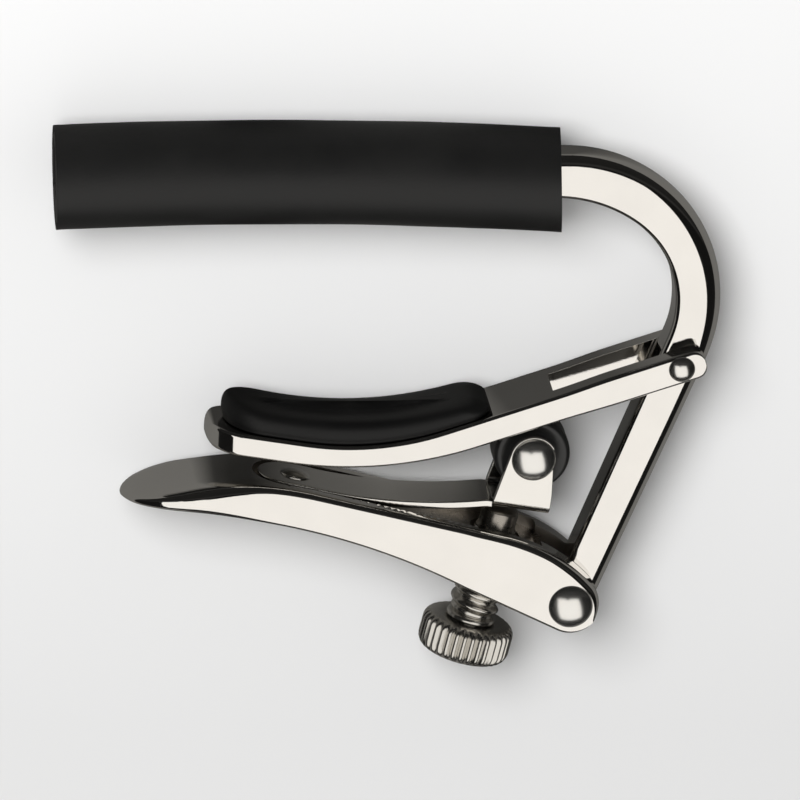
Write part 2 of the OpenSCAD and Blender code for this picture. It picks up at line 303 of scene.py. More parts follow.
def noise(nodes, links, where, scale, detail=3, stretch=None):
    tex = nodes.new("ShaderNodeTexNoise")
    tex.inputs["Scale"].default_value = scale
    tex.inputs["Detail"].default_value = detail
    if stretch:
        mapping = nodes.new("ShaderNodeMapping")
        mapping.inputs["Scale"].default_value = stretch
        mapping.inputs["Rotation"].default_value = (0, 0, 0.3)
        links.new(where.outputs["Object"], mapping.inputs["Vector"])
        links.new(mapping.outputs["Vector"], tex.inputs["Vector"])
    else:
        links.new(where.outputs["Object"], tex.inputs["Vector"])
    return tex.outputs["Fac"]


def ramp(nodes, links, value, low, high, a, b):
    r = nodes.new("ShaderNodeMapRange")
    links.new(value, r.inputs["Value"])
    for key, v in (("From Min", low), ("From Max", high), ("To Min", a), ("To Max", b)):
        r.inputs[key].default_value = v
    return r.outputs["Result"]


def bump(nodes, links, shader, heights, strength, distance):
    """Adds bumps, one over another, from a list of (height, strength scale)."""
    last = None
    for height, k in heights:
        b = nodes.new("ShaderNodeBump")
        b.inputs["Strength"].default_value = strength * k
        b.inputs["Distance"].default_value = distance
        links.new(height, b.inputs["Height"])
        if last:
            links.new(last, b.inputs["Normal"])
        last = b.outputs["Normal"]
    links.new(last, shader.inputs["Normal"])


def nickel(name, colour, roughness, scratch, cast=0.0):
    """Polished plating: faint clouding, fine rubbing marks and a trace of ripple."""
    m, nodes, links, shader, where = material(name, colour, 1.0, roughness)
    cloud = noise(nodes, links, where, 180, 4)
    fine = noise(nodes, links, where, 900, 3, (1, 14, 14))
    tint = nodes.new("ShaderNodeMix")
    tint.data_type = "RGBA"
    links.new(ramp(nodes, links, cloud, 0.35, 0.7, 0, 1), tint.inputs["Factor"])
    tint.inputs["A"].default_value = (*[c * 0.97 for c in colour], 1)
    tint.inputs["B"].default_value = (*colour, 1)
    links.new(tint.outputs["Result"], shader.inputs["Base Color"])
    rough = nodes.new("ShaderNodeMath")
    rough.operation = "ADD"
    links.new(ramp(nodes, links, cloud, 0.3, 0.7, roughness * 0.8, roughness * 1.15), rough.inputs[0])
    links.new(ramp(nodes, links, fine, 0.55, 0.75, 0.0, scratch), rough.inputs[1])
    links.new(rough.outputs["Value"], shader.inputs["Roughness"])
    heights = [(fine, 1.0), (noise(nodes, links, where, 260, 2), 0.8)]
    if cast:
        heights.append((noise(nodes, links, where, 1500, 3), cast))
    bump(nodes, links, shader, heights, 0.03, 0.00004)
    return m


def rubber(name, shade, roughness, grain, specular=0.4):
    """Black rubber: fine grain, faint cloudy bloom."""
    m, nodes, links, shader, where = material(name, (shade, shade, shade), 0.0, roughness)
    shader.inputs["Specular IOR Level"].default_value = specular
    cloud = noise(nodes, links, where, 90, 4)
    fine = noise(nodes, links, where, grain, 2)
    tint = nodes.new("ShaderNodeMix")
    tint.data_type = "RGBA"
    links.new(ramp(nodes, links, cloud, 0.3, 0.7, 0, 1), tint.inputs["Factor"])
    tint.inputs["A"].default_value = (shade * 0.8, shade * 0.8, shade * 0.8, 1)
    tint.inputs["B"].default_value = (shade * 1.25, shade * 1.24, shade * 1.2, 1)
    links.new(tint.outputs["Result"], shader.inputs["Base Color"])
    rough = ramp(nodes, links, cloud, 0.3, 0.7, roughness * 0.92, roughness * 1.08)
    links.new(rough, shader.inputs["Roughness"])
    bump(nodes, links, shader, [(fine, 1.0), (cloud, 0.5)], 0.25, 0.00005)
    return m


bright_nickel = nickel("bright_nickel", (0.84, 0.82, 0.785), 0.06, 0.03)
# Painted shade: a darker nickel for the faces of the recess, fork and bore and for the screw's point, where
# shade falls; its roughness and cast ripple are bumps, not colour
cast_and_shade_nickel = nickel("cast_and_shade_nickel", (0.42, 0.39, 0.35), 0.3, 0.08, cast=8.0)
pin_nickel = nickel("pin_nickel", (0.82, 0.81, 0.78), 0.2, 0.04)
spring_steel = nickel("spring_steel", (0.84, 0.82, 0.78), 0.13, 0.05)
screw_nickel = nickel("screw_nickel", (0.66, 0.64, 0.6), 0.2, 0.06)
sleeve_rubber = rubber("sleeve_rubber", 0.008, 0.5, 2600)
pad_rubber = rubber("pad_rubber", 0.004, 0.48, 3400, 0.3)
roller_plastic = rubber("roller_plastic", 0.009, 0.3, 2200, 0.5)


# ---------------------------------------------------------------- frame bar

hook_out, hook_out_r = (20.25, 14.12), 20.97
# The hook's inner edge is two arcs, which meet at an angle of 56 degrees
hook_inner_1, hook_inner_2, hook_joint = ((18.64, 10.22), 18.64), ((21.39, 14.27), 13.74), 56
hook_start = 88
bar_free_end = 2.9
foot_r, foot_lean = 3.8, 21.5
inner_round = (0.8, 1.0)
spine_round, hook_round = (2.3, 2.3), (2.8, 2.7)


def hook_inside(angle):
    centre, r = hook_inner_1 if angle > hook_joint else hook_inner_2
    return polar(centre, r, angle)


# The bar's stations, as pairs of an outer and an inner point: 40 on the string bar from its
# free end, 73 round the hook, 16 down the spine and 12 round its foot
bar_pairs = []
bar_end = math.degrees(math.asin((sleeve_len / 2 - bar_free_end) / crown_r))
for t in steps(0, 1, 40)[:-1]:
    angle = mix(90 + bar_end, 90 - crown_half, t)
    bar_pairs.append((polar(crown_centre, crown_r + bar_depth, angle),
                      polar(crown_centre, crown_r - bar_depth, angle)))
for t in steps(0, 1, 72):
    bar_pairs.append((polar(hook_out, hook_out_r, mix(hook_start, -spine_outer, t)),
                      hook_inside(mix(90 - crown_half, -spine_inner, t))))
hook_end = bar_pairs[-1]
drop = hook_end[1][1] - lever_pivot[1]
foot_out = polar(lever_pivot, foot_r, -spine_outer)
foot_in = (hook_end[1][0] - drop * tan(spine_inner), lever_pivot[1])
for t in steps(0, 1, 16)[1:]:
    bar_pairs.append((mix2(hook_end[0], foot_out, t), mix2(hook_end[1], foot_in, t)))
foot_middle = mix2(foot_out, foot_in, 0.5)
foot_half = math.dist(foot_out, foot_in) / 2
for a in steps(0, 84, 12)[1:]:
    down, side = foot_half * sin(a), foot_half * cos(a)
    x, y = foot_middle[0] - sin(foot_lean) * down, foot_middle[1] - cos(foot_lean) * down
    bar_pairs.append(((x + side * cos(foot_lean), y - side * sin(foot_lean)),
                      (x - side * cos(foot_lean), y + side * sin(foot_lean))))


def bar_ring(k, outer, inner):
    """Ring at station k of the bar, nearly square inside and rounded outside, most of all on the hook."""
    # The free end's rim is rounded over two stations. The hook's rounding comes in after
    # station 45 and goes out again after station 105.
    inset = 0.6 * (1 - math.sqrt(1 - (1 - k / 2) ** 2)) if k < 2 else 0
    hook = smooth((k - 45) / 40) * (1 - smooth((k - 105) / 12))
    outer_round = mix2(spine_round, hook_round, hook)
    return between(outer, inner, lambda wide: corner_ring(
        inset, wide - inset, inset - bar_half, bar_half - inset, inner_round, outer_round, 9))


bar = mesh_object("bar", *loft([bar_ring(k, *pair) for k, pair in enumerate(bar_pairs)]))
finish_mesh(bar)
piece(bar, "frame", "polished_nickel", bright_nickel, "frame_bar")


# ---------------------------------------------------------------- rubber sleeve

sleeve_axis = crown_r - sleeve_offset
sleeve_half = math.degrees(math.asin(sleeve_len / 2 / sleeve_axis))


def sleeve_ring(along, radius_of, n=96):
    """A ring round the sleeve, along mm from its left end. Both ends are cut a little aslant.
    radius_of(angle) gives a point of the ring: its radius in the plan, its z, and its share of the slant."""
    out = []
    for i in range(n):
        a = 360 * i / n
        r, z, slant = radius_of(a)
        right = max(0, along / sleeve_len - 0.9) * 10
        left = max(0, 0.1 - along / sleeve_len) * 10
        lean = slant * (right + 0.5 * left) + 0.11 * (r - sleeve_axis) * right
        at = 90 + sleeve_half - math.degrees((along - lean) / sleeve_axis)
        x, y = polar(crown_centre, r, at)
        out.append((x, y, z))
    return out


def sleeve_outside(radius):
    return lambda a: (sleeve_axis + radius * sin(a), radius * cos(a), 0.1 * radius * cos(a))


def sleeve_bore(grow=0.0):
    deep, half = bar_depth + 0.06 + grow, bar_half + 0.06 + grow

    def at(a):
        k = 1 / max(abs(sin(a)) / deep, abs(cos(a)) / half)
        return (crown_r + k * sin(a), k * cos(a), 0.1 * k * cos(a))
    return at


# (distance along, radius): a small rounding at each end, and faint hollows between them
edge = 0.35
left_rim = [(edge * (1 - sin(a)), sleeve_r - edge * (1 - cos(90 - a))) for a in steps(0, 90, 4)]
right_rim = [(sleeve_len - x, r) for x, r in reversed(left_rim)]
hollows = [(x, sleeve_r + min(0, 0.05 * math.sin(x * 0.21) * math.sin(x * 0.083 + 1) - 0.03))
           for x in steps(edge, sleeve_len - edge, 60)[1:-1]]
face_r, lead_in = 5.6, 0.25
rings = [sleeve_ring(x, sleeve_outside(r)) for x, r in left_rim + hollows + right_rim]
rings += [sleeve_ring(sleeve_len, sleeve_outside(face_r)), sleeve_ring(sleeve_len, sleeve_bore(lead_in)),
          sleeve_ring(sleeve_len - 0.3, sleeve_bore())]
rings += [sleeve_ring(x, sleeve_bore()) for x in steps(sleeve_len - 4, 4, 10)]
rings += [sleeve_ring(0.3, sleeve_bore()), sleeve_ring(0, sleeve_bore(lead_in)),
          sleeve_ring(0, sleeve_outside(face_r))]
sleeve = mesh_object("sleeve", *loft(rings, loop=True))
finish_mesh(sleeve, angle=50)
piece(sleeve, "frame", "sleeve_rubber", sleeve_rubber, "string_sleeve")


# ---------------------------------------------------------------- neck arm


def slope_curve(x, x0, y0, r, rise_left, rise_right):
    """A trough: an arc about x0 with tangent lines beyond its two ends."""
    left, right = x0 - r * sin(rise_left), x0 + r * sin(rise_right)
    if x < left:
        return y0 + r * (1 - cos(rise_left)) + (left - x) * tan(rise_left)
    if x > right:
        return y0 + r * (1 - cos(rise_right)) + (x - right) * tan(rise_right)
    return y0 + r - math.sqrt(r * r - (x - x0) ** 2)


def arm_top(x):
    return slope_curve(x, arm_curve_x, trough_top, arm_top_r, arm_left_rise, arm_rise)


def arm_bottom(x):
    return slope_curve(x, arm_curve_x, trough_bottom, arm_bottom_r, arm_left_rise, arm_rise)


def plan_half(x, left, half):
    """Half width of a strip with a round left end."""
    d = x - left
    return math.sqrt(max(0, half * half - (half - d) ** 2)) if d < half else half


def oval_end(x, left, run):
    """Share of the full width at x, for a strip whose left end is half an ellipse that runs as far as run."""
    return math.sqrt(1 - (1 - min(1, (x - left) / run)) ** 2)


def nose(x, left, r):
    """How far an edge is rounded off at distance x - left from the end."""
    d = min(1, (x - left) / r)
    return r * (1 - math.sqrt(max(0, 1 - (1 - d) ** 2)))


arm_right = arm_pivot[0] + arm_tip * cos(arm_rise) + 0.6
arm_nose = 4.7
left_round, right_round = 1.3, 1.45
arm_xs = [arm_left + arm_nose * (1 - cos(a)) for a in steps(6, 90, 16)] + steps(-19.6, 34.5, 45)
arm_xs += [arm_right - 1.5 * (1 - sin(a)) for a in steps(0, 82, 9)]
arm_rings = []
for x in arm_xs:
    top, bottom = arm_top(x), arm_bottom(x)
    cap = nose(-x, -arm_right, right_round)
    off = min(nose(x, arm_left, left_round), 1.25) if x < arm_left + left_round else 0
    top, bottom = top - off - cap, bottom + off + cap
    half = max(0.35, arm_half * oval_end(x, arm_left, arm_nose))
    edge_r = min(0.55, half * 0.5)
    shape = corner_ring(bottom, top, -half, half, (edge_r, edge_r), (edge_r, edge_r), 5)
    lean = tan(arm_rise) * smooth((x - 20) / 8)
    middle = (top + bottom) / 2
    arm_rings.append([(x - (y - middle) * lean * 0.95, y, z) for y, z in shape])
arm = mesh_object("arm", *loft(arm_rings))

slot_half = 2.95
slot_left = 20.1
cut(arm, prism("slot", [(slot_left, -12), (60, -12), (60, 30), (slot_left - 1.5, 30)], -slot_half, slot_half))
track_left, track_depth, track_half = 1.5, 1.05, 3.05
track = [(x, arm_bottom(x) + track_depth) for x in steps(track_left, slot_left + 1, 10)]
track += [(slot_left + 1, arm_bottom(slot_left) - 2), (track_left - 2.5, arm_bottom(track_left) - 2),
          (track_left - 2.5, arm_bottom(track_left - 2.5) - 0.1)]
cut(arm, prism("track", track, -track_half, track_half))
finish_mesh(arm, bevel=0.15)
piece(arm, "arm", "polished_nickel", bright_nickel, "neck_arm")


# ---------------------------------------------------------------- neck pad

pad_left, pad_right, pad_half = -23.4, 11.7, 5.3
pad_top_r, pad_thick = 51, 3.2
pad_corner, pad_end_run = 2.6, 1.7


def pad_height(x):
    top = trough_top + pad_thick + pad_top_r - math.sqrt(pad_top_r ** 2 - (x - arm_curve_x) ** 2)
    return top - arm_top(x)


def pad_ring(inset, height, n=18):
    """Outline of the pad seen from above, drawn in by inset, at a share of its height."""
    half = max(0.02, pad_half - inset)
    corner = max(0.015, min(pad_corner, half) - inset * 0.2)
    right = pad_right - inset - pad_end_run * smooth((height - 0.1) / 0.9)
    out = [(pad_left + pad_half + half * cos(a), half * sin(a)) for a in steps(90, 270, 2 * n)]
    long_side = steps(pad_left + pad_half, right - corner, 26)[1:-1]
    out += [(x, -half) for x in long_side]
    for side, start in ((-1, -90), (1, 0)):
        out += [(right - corner + corner * cos(start + t), side * (half - corner) + corner * sin(start + t))
                for t in steps(0, 90, n)]
    out += [(x, half) for x in reversed(long_side)]
    points = []
    for x, z in out:
        sag = 0.1 * (1 - (z / pad_half) ** 2) * max(0, height - 0.7) / 0.3
        points.append((x, arm_top(x) + 0.02 + pad_height(x) * height + sag, z))
    return points


# (distance that the outline is drawn in, share of the height), from the underside to the middle of the top
pad_profile = [(2.2, 0.0), (0.5, 0.0), (0.28, 0.05), (0.3, 0.14), (0.12, 0.22), (0.0, 0.36), (0.0, 0.52),
               (0.08, 0.68), (0.28, 0.81), (0.6, 0.91), (1.1, 0.97), (1.8, 1.0), (2.8, 1.0), (3.8, 1.0),
               (4.7, 1.0)]
pad = mesh_object("pad", *loft([pad_ring(i, h) for i, h in pad_profile]))
m = pad.modifiers.new("round", "SUBSURF")
m.levels = m.render_levels = 1
apply_modifiers(pad)
finish_mesh(pad, angle=60)
piece(pad, "arm", "pad_rubber", pad_rubber, "neck_pad")


# ---------------------------------------------------------------- lever


def rim_y(x):
    straight = (shoulder[0] + shoulder_r * sin(lever_rise), shoulder[1] + shoulder_r * cos(lever_rise))
    joint = rim_centre[0] + rim_r * sin(lever_rise)
    if x > straight[0]:
        return circle_y(shoulder, shoulder_r, x, 1)
    if x > joint:
        return straight[1] - (x - straight[0]) * tan(lever_rise)
    return circle_y(rim_centre, rim_r, x, 1)


back_end, back_knee = 26.4, 9
back_foot = (lever_pivot[0] - lever_end_r * sin(back_end), lever_pivot[1] - lever_end_r * cos(back_end))


def back_y(x):
    if x < back_knee:
        return circle_y(back_centre, back_r, x, 1)
    share = (x - back_knee) / (back_foot[0] - back_knee)
    return mix(circle_y(back_centre, back_r, back_knee, 1), back_foot[1], share)


tip_run, tip_round = 8.6, 2.2
lever_xs = [lever_tip + tip_run * (1 - cos(a)) for a in steps(4, 90, 20)] + steps(-26.8, back_knee, 42)
lever_rings = []
for x in lever_xs:
    top, bottom = rim_y(x), back_y(x)
    half = max(0.4, lever_half * oval_end(x, lever_tip, tip_run))
    spoon = 1 - smooth((x + 30) / 14)
    thick = top - bottom
    off = nose(x, lever_tip, tip_round) * 0.3 if x < lever_tip + tip_round else 0
    high = (mix(1.0, thick * 0.6, spoon), mix(1.0, min(3.2, half * 0.6), spoon))
    low = (mix(0.6, thick * 0.35, spoon), mix(0.6, 1.4, spoon))
    shape = corner_ring(bottom + off * 0.5, top - off, -half, half, low, high, 7)
    lever_rings.append([(x, y, z) for y, z in shape])
# Round end: stations lean until they turn about the pivot
high_start = math.degrees(math.atan2(lever_pivot[1] - shoulder[1], lever_pivot[0] - shoulder[0]))
tops = [(x, rim_y(x)) for x in steps(back_knee, fork_left, 12)[1:]]
top_angle = math.degrees(math.atan2(tops[-1][1] - shoulder[1], tops[-1][0] - shoulder[0]))
tops += [polar(shoulder, shoulder_r, a) for a in steps(top_angle, high_start, 16)[1:]]
knee = (back_knee, back_y(back_knee))
bottoms = [mix2(knee, back_foot, (i + 1) / len(tops)) for i in range(len(tops))]
ends = [polar(lever_pivot, lever_end_r, a) for a in steps(high_start, -90 - back_end, 32)]
for k in range(1, len(ends) // 2):
    tops.append(ends[k])
    bottoms.append(ends[-1 - k])
for top, bottom in zip(tops, bottoms):
    high = (mix(1.0, 1.4, smooth(top[0] / 6 - 2)), 1.3)
    lever_rings.append(between(top, bottom, lambda wide: corner_ring(
        0, wide, -lever_half, lever_half, (0.6, 0.6), high, 7)))
lever = mesh_object("lever_body", *loft(lever_rings))
lever.data.materials.append(bright_nickel)

recess_half, seat_left, seat_depth = 4.75, -18.9, 1.0
recess_depth, fork_depth, fork_half = 1.4, 1.5, 2.95


def recess_ring(x, depth):
    half = recess_half * (1 if x > seat_left + recess_half else
                          math.sqrt(max(0.001, 1 - ((seat_left + recess_half - x) / recess_half) ** 2)))
    floor = rim_y(x) - depth
    return [(x, floor, -half), (x, floor, half), (x, rim_y(x) + 4, half), (x, rim_y(x) + 4, -half)]


recess = [recess_ring(seat_left + recess_half * (1 - cos(a)), seat_depth) for a in steps(4, 90, 12)]
recess += [recess_ring(x, mix(seat_depth, recess_depth, smooth((x + 12) / 4))) for x in steps(-13.5, 14, 26)]
recess += [recess_ring(x, fork_depth) for x in steps(15, 19, 4)]
cut(lever, mesh_object("recess", *loft(recess)), faces=cast_and_shade_nickel)
fork = prism("fork", [(fork_left, -50), (60, -50), (60, 20), (fork_left, 20)], -fork_half, fork_half)
cut(lever, fork, faces=cast_and_shade_nickel)
bore = lathe([(screw_r + 0.08, -5), (screw_r + 0.08, 30)], along_screw, 48)
cut(lever, mesh_object("bore", *bore), faces=cast_and_shade_nickel)
finish_mesh(lever, bevel=0.16)
piece(lever, "lever", "polished_nickel", bright_nickel, "lever")


# ---------------------------------------------------------------- leaf spring with its ears


def leaf_top(x):
    if x < hinge_x:
        return rim_y(x)
    if x < base_left:
        return circle_y(spring_centre, spring_r, x, -1)
    return circle_y(spring_centre, spring_r, base_left, -1) - (x - base_left) * tan(base_fall)


root_left = -18.2
leaf_xs = [root_left + spring_half * (1 - cos(a)) for a in steps(8, 90, 10)] + steps(-13.8, 12.2, 44)
leaf_rings = []
for x in leaf_xs:
    half = plan_half(x, root_left, spring_half)
    top = leaf_top(x)
    shape = corner_ring(top - spring_thick + 0.03, top, -half, half, (0.15, 0.15), (0.22, 0.22), 3)
    leaf_rings.append([(x, y, z) for y, z in shape])
leaf = mesh_object("leaf_spring", *loft(leaf_rings))

# Base and ears: a bent channel, trimmed to the ears' side outline
ear_inner = ear_outer - ear_thick


def channel_section():
    """(z, height) pairs round a U: up the outside, down the inside."""
    outer_bend, inner_bend, past_ears = 1.7, 0.85, 12
    outside = [(ear_outer - outer_bend + outer_bend * cos(a), outer_bend - spring_thick + outer_bend * sin(a))
               for a in steps(270, 360, 7)]
    inside = [(ear_inner - inner_bend + inner_bend * cos(a), inner_bend + inner_bend * sin(a))
              for a in steps(360, 270, 7)]
    half = outside + [(ear_outer, past_ears), (ear_inner, past_ears)] + inside
    return half + [(-z, h) for z, h in reversed(half)]


channel = [[(x, leaf_top(x) + h, z) for z, h in channel_section()] for x in (base_left, base_right + 0.3)]
ears = mesh_object("ears", *loft(channel))
ear_r = 3.05
ear_side = [(x, leaf_top(x) - 1.5) for x in (base_left + 0.35, base_right)]
ear_side += [polar(roller_axis, ear_r, a) for a in steps(-8, 165, 36)]
cut(ears, prism("ear_side", ear_side, -12, 12), "INTERSECT")
finish_mesh(ears, bevel=0.12)
cut(leaf, ears, "UNION")
finish_mesh(leaf, angle=40)
piece(leaf, "lever", "spring_steel", spring_steel)
# The strip bends, and here it rides on no single body: it is taken off the lever and left where it is
leaf.parent = None
leaf.matrix_world = Matrix.Identity(4)
del leaf["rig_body"]
row((hinge_x - 1.5, rim_y(hinge_x), 0))
row((hinge_x + 2.5, rim_y(hinge_x), 0))
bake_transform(leaf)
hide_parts("spring_root", "spring_leaf")


# ---------------------------------------------------------------- pins, rivet, roller


def dome_profile(r, h):
    """Half of a head, from its rim to its top, as (radius, height): a low dome with a rounded rim."""
    r1, drop = 0.72 * r, 0.42 * h
    ball = (r1 * r1 + drop * drop) / (2 * drop)
    lean = math.degrees(math.asin(r1 / ball))
    knee = (r, h - drop - (r - r1) * tan(lean))
    foot, crown = (r, 0), (r1, h - drop)
    rim = [mix2(mix2(foot, knee, t), mix2(knee, crown, t), t) for t in steps(0, 1, 12)]
    return rim + [(ball * sin(a), h - ball * (1 - cos(a))) for a in steps(lean, 0.8, 12)[1:]]


def headed_pin(name, centre, r, half, head_r, head_h, body, nodes):
    head = dome_profile(head_r, head_h)
    profile = [(a, -half - h) for a, h in reversed(head)] + [(r, -half), (r, half)]
    profile += [(a, half + h) for a, h in head]
    obj = mesh_object(name, *lathe(profile, about_z(centre)))
    finish_mesh(obj, angle=40)
    return piece(obj, body, "pin_nickel", pin_nickel, *nodes)


headed_pin("arm_pin", arm_pivot, 1.0, arm_half, 1.72, 0.8, "arm", ["arm_pivot_pin"])
headed_pin("lever_pin", lever_pivot, 1.5, lever_half, 2.9, 1.2, "lever", ["lever_pivot_pin"])
headed_pin("roller_axle", roller_axis, 1.2, ear_outer, 2.9, 1.2, "spring", ["roller_pin"])

rivet_x = -13.25
lean = math.degrees(math.asin((rivet_x - rim_centre[0]) / rim_r))


def on_rivet(u, v, h):
    return (rivet_x + h * sin(lean) + u * cos(lean), rim_y(rivet_x) + h * cos(lean) - u * sin(lean), v)


rivet = mesh_object("rivet", *lathe([(1.1, -3.2), (1.1, 0.0)] + dome_profile(2.0, 0.7), on_rivet))
finish_mesh(rivet, angle=40)
piece(rivet, "lever", "pin_nickel", pin_nickel, "spring_rivet")

tyre_half = [(2.42, 0.0), (2.42, 2.25), (2.75, 2.4), (3.05, 2.42), (3.2, 2.45), (4.05, 2.78),
             (4.3, 2.8), (4.6, 2.72), (4.85, 2.5), (4.97, 2.2), (5.0, 1.8), (5.0, 0.0)]
tyre = turned_ring("tyre", tyre_half, 96)
finish_mesh(tyre, angle=40)
piece(tyre, "roller", "roller_plastic", roller_plastic, "roller_tyre")

bush_half = [(1.25, 0.0), (1.25, 3.3), (1.45, 3.4), (2.2, 3.4), (2.38, 3.25), (2.38, 0.0)]
bush = turned_ring("bush", bush_half, 64)
finish_mesh(bush, angle=40)
piece(bush, "roller", "roller_plastic", roller_plastic, "roller_bush")


# ---------------------------------------------------------------- thumbscrew


def thread_radius(turns):
    """Height of a rounded thread, from 0 in the groove to 1 on the crest, at a place in turns."""
    return (0.5 - 0.5 * cos(360 * turns)) ** 0.8


n_round, root_r = 72, 2.7
first, last = knob_half + 0.9, screw_tip - point_len
neck = [(2.0, -knob_half + 0.05), (2.0, knob_half), (3.05, knob_half + 0.04), (3.25, knob_half + 0.2),
        (3.25, knob_half + 0.6), (3.0, knob_half + 0.85)]


def screw_ring(h, radius_at, n=n_round):
    """A ring round the screw at height h. radius_at(i) gives its radius at the i-th of n points."""
    radii = [radius_at(i) for i in range(n)]
    return [along_screw(r * cos(360 * i / n), r * sin(360 * i / n), h) for i, r in enumerate(radii)]


def thread_ring(h):
    fade = smooth((h - first) / 0.9) * smooth((last - h) / 0.9)
    return screw_ring(h, lambda i: mix(root_r, screw_r, thread_radius(h / pitch - i / n_round) * fade))


point = [(2.65, last + 0.12), (point_r, last + 0.3), (point_r, screw_tip - 0.85), (2.35, screw_tip - 0.55),
         (2.1, screw_tip - 0.38), (1.7, screw_tip - 0.25), (1.1, screw_tip - 0.1), (0.5, screw_tip - 0.02)]
screw_rings = [screw_ring(h, lambda i: r) for r, h in neck]
screw_rings += [thread_ring(h) for h in steps(first, last, int((last - first) / pitch * 16))]
screw_rings += [screw_ring(h, lambda i: r) for r, h in point]
screw = mesh_object("thumbscrew", *loft(screw_rings))
screw.data.materials.append(screw_nickel)
screw.data.materials.append(cast_and_shade_nickel)
# The plain point under the strip takes the darker nickel: painted shade for the recess's brown gloom under
# the strip
point_start = row(along_screw(0, 0, last))
along = Vector((sin(screw_tilt), cos(screw_tilt), 0))
for face in screw.data.polygons:
    face.material_index = int((face.center - point_start).dot(along) > 0)
finish_mesh(screw, angle=50)
piece(screw, "screw", "screw_nickel", screw_nickel, "adjusting_screw")

knob_profile = [(2.05, -knob_half + 0.25), (2.4, -knob_half), (4.7, -knob_half), (5.1, -knob_half + 0.04),
                (5.45, -knob_half + 0.2), (5.75, -knob_half + 0.5), (5.95, -knob_half + 0.9),
                (knob_r, -knob_half + 1.4), (knob_r, 0), (knob_r, knob_half - 1.1), (5.95, knob_half - 0.7),
                (5.75, knob_half - 0.4), (5.45, knob_half - 0.15), (5.2, knob_half - 0.04), (4.8, knob_half),
                (3.6, knob_half), (3.4, knob_half - 0.08), (2.05, knob_half - 0.08)]
per_ridge, groove_depth = 8, 0.42


def knurled_ring(r, h):
    def radius_at(i):
        wave = abs((i % per_ridge) / per_ridge - 0.5) * 2
        return r - groove_depth * smooth((wave - 0.2) / 0.8) * smooth((r - 5.0) / 0.9)
    return screw_ring(h, radius_at, ridges * per_ridge)


knob = mesh_object("knob", *loft([knurled_ring(r, h) for r, h in knob_profile], loop=True))
finish_mesh(knob, angle=60)
piece(knob, "knob", "screw_nickel", screw_nickel, "thumb_knob")


# ---------------------------------------------------------------- camera, floor and light

# A long lens, nearly from above, leaning towards the string bar's side
right_axis = Vector((0.9924, 0.0468, 0.1132)).normalized()
back_axis = Vector((-0.1225, 0.3530, 0.9276))
back_axis = (back_axis - right_axis * back_axis.dot(right_axis)).normalized()
up_axis = back_axis.cross(right_axis)
target = row((0, 0, 0))
distance = 2.888
camera = bpy.data.objects.new("camera", bpy.data.cameras.new("camera"))
bpy.context.scene.collection.objects.link(camera)
camera.data.lens, camera.data.sensor_width, camera.data.clip_start = 1000, 36, 0.01
turn = Matrix((right_axis, up_axis, back_axis)).transposed().to_4x4()
camera.matrix_world = Matrix.Translation(target + back_axis * distance) @ turn
bpy.context.scene.camera = camera


def card(name, corners, colour, strength):
    """A bright or dark studio card that only reflections see."""
    mesh = bpy.data.meshes.new(name)
    mesh.from_pydata(corners, [], [(0, 1, 2, 3)])
    obj = bpy.data.objects.new(name, mesh)
    bpy.context.scene.collection.objects.link(obj)
    m = bpy.data.materials.new(name)
    m.use_nodes = True
    nodes = m.node_tree.nodes
    nodes.clear()
    light = nodes.new("ShaderNodeEmission")
    light.inputs["Color"].default_value = (*colour, 1)
    light.inputs["Strength"].default_value = strength
    out = nodes.new("ShaderNodeOutputMaterial")
    m.node_tree.links.new(light.outputs[0], out.inputs[0])
    mesh.materials.append(m)
    obj.visible_camera = obj.visible_shadow = obj.visible_diffuse = False


def toward(tilt, side, away):
    """A point seen from the capo at tilt degrees from straight up towards +Y, and side degrees towards +X."""
    return target + Vector((tan(side), sin(tilt), cos(tilt))) * away


card("softbox", [toward(14, -38, 0.9), toward(14, 29, 0.9), toward(-61, 34, 0.9), toward(-61, -17, 0.9)],
     (1.0, 0.975, 0.94), 1.05)
card("lens", [toward(9, -10, 0.5), toward(9, 1, 0.5), toward(20, 1, 0.5), toward(20, -10, 0.5)], (0, 0, 0), 0)


def colour_stops(nodes, links, value, stops):
    """Colour along a value from 0 to 1, from a list of (place, colour)."""
    shades = nodes.new("ShaderNodeValToRGB")
    links.new(value, shades.inputs["Fac"])
    elements = shades.color_ramp.elements
    elements.remove(elements[1])
    elements[0].position = stops[0][0]
    for i, (place, colour) in enumerate(stops):
        stop = elements[0] if i == 0 else elements.new(place)
        stop.color = (*colour, 1)
    return shades.outputs["Color"]


floor_mesh = bpy.data.meshes.new("floor")
floor_mesh.from_pydata([(-3, -3, 0), (3, -3, 0), (3, 3, 0), (-3, 3, 0)], [], [(0, 1, 2, 3)])
floor = bpy.data.objects.new("floor", floor_mesh)
bpy.context.scene.collection.objects.link(floor)
floor_material, nodes, links, shader, where = material("floor", (0.8, 0.8, 0.8), 0.0, 0.9)
shader.inputs["Specular IOR Level"].default_value = 0.1
# Painted shade: the floor's colour falls from 0.8 to 0.68 towards -Y, the bottom of the view, where less
# light falls
across = nodes.new("ShaderNodeSeparateXYZ")
links.new(where.outputs["Object"], across.inputs[0])
shade = nodes.new("ShaderNodeCombineColor")
for channel in ("Red", "Green", "Blue"):
    links.new(ramp(nodes, links, across.outputs["Y"], -0.05, 0.05, 0.68, 0.8), shade.inputs[channel])
links.new(shade.outputs["Color"], shader.inputs["Base Color"])
floor_mesh.materials.append(floor_material)
floor.visible_glossy = False

# The metal mirrors a dark table, which lies on the pale floor and takes the capo's shadow; only reflections
# see it, and its glow and patches are painted light and shade
table = bpy.data.objects.new("table", floor_mesh.copy())
bpy.context.scene.collection.objects.link(table)
table.location.z = 0.00002
table_colour = (0.09, 0.088, 0.084)
table_material, nodes, links, shader, where = material("table", table_colour, 0.0, 0.9)
shader.inputs["Emission Color"].default_value = (1, 0.98, 0.93, 1)
shader.inputs["Specular IOR Level"].default_value = 0.0
